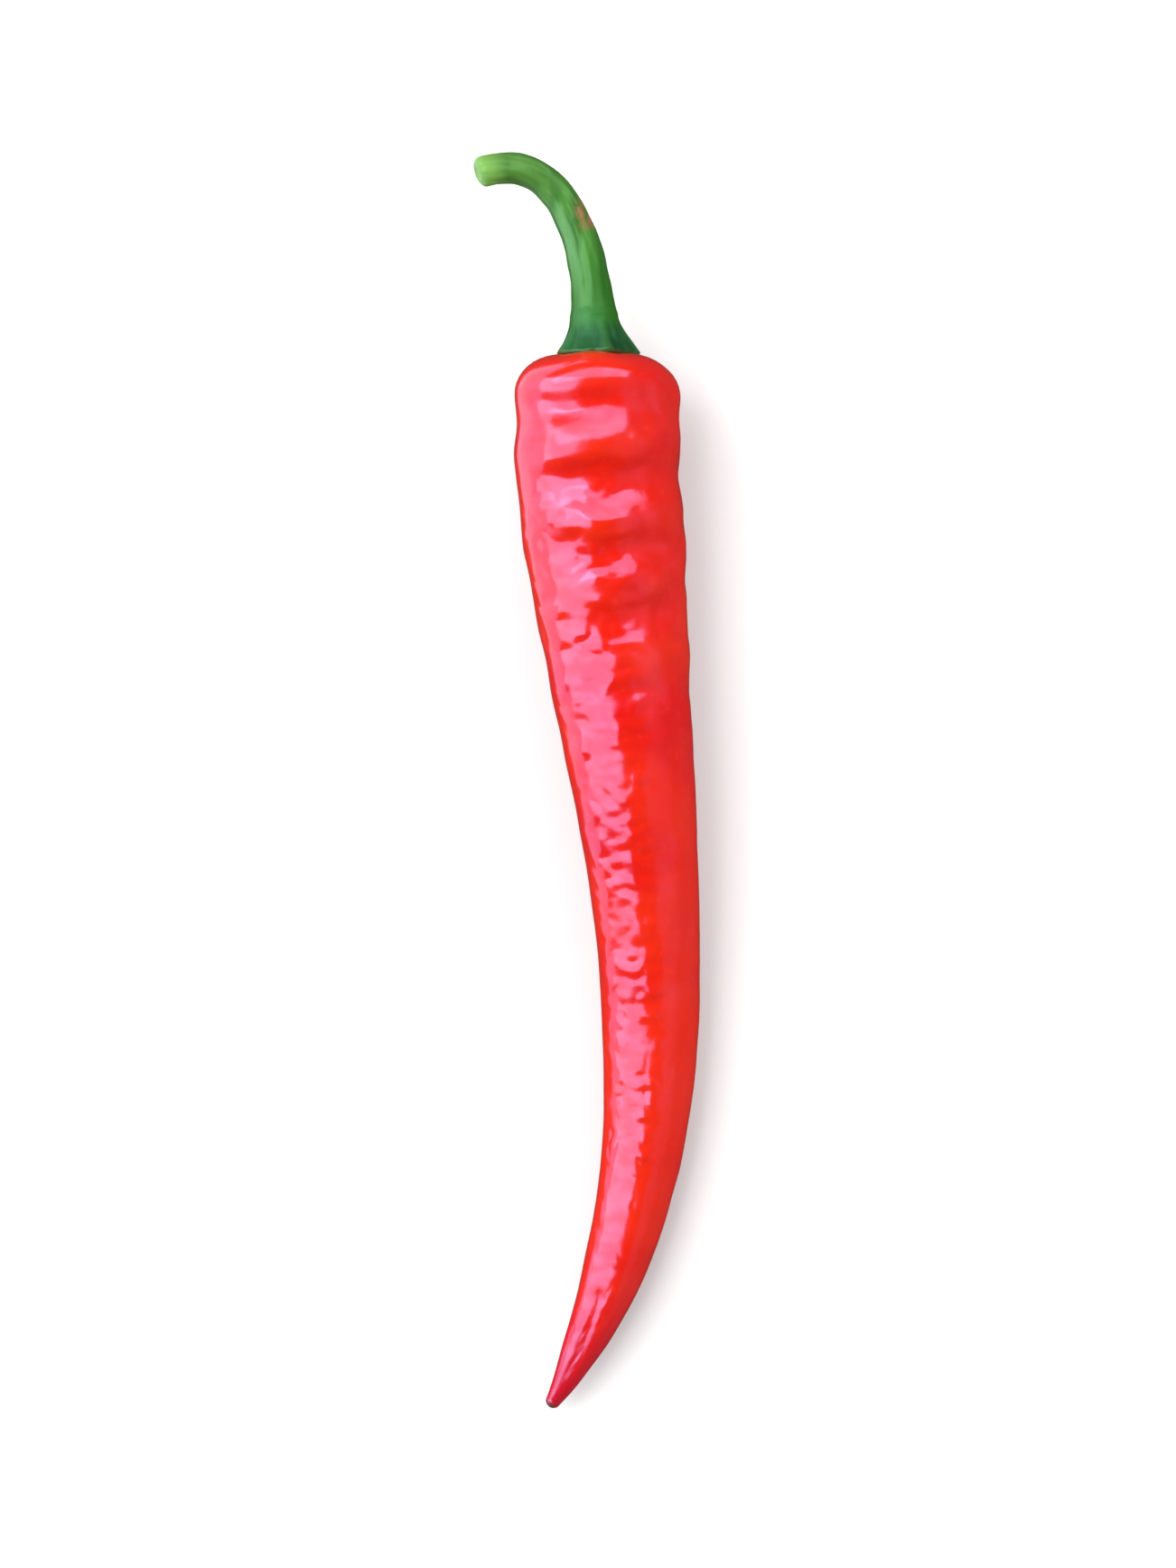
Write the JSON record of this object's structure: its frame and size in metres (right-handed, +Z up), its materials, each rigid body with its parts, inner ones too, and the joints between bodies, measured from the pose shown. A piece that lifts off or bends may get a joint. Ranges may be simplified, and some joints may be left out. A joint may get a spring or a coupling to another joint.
{
  "type": "chilli pepper",
  "caption": "Long tapering fresh chilli pod lying on its side, gently bowed, with a rippled shoulder, a small calyx and a hooked stem.",
  "frame": {"origin": "on the surface that the chilli lies on, under the middle of its bounding box", "axes": "+Z up; the chilli lies along Y, with its stem towards +Y and its tip towards -Y"},
  "size_m": [0.0292, 0.161, 0.0205],
  "materials": {
    "skin": "waxy and glossy, ripe red",
    "calyx": "satin, dark green",
    "stem": "satin, mid green, paler at its cut end"
  },
  "bodies": {
    "root": {"pod": "skin", "calyx": "calyx", "stem": "stem"}
  },
  "joints": []
}
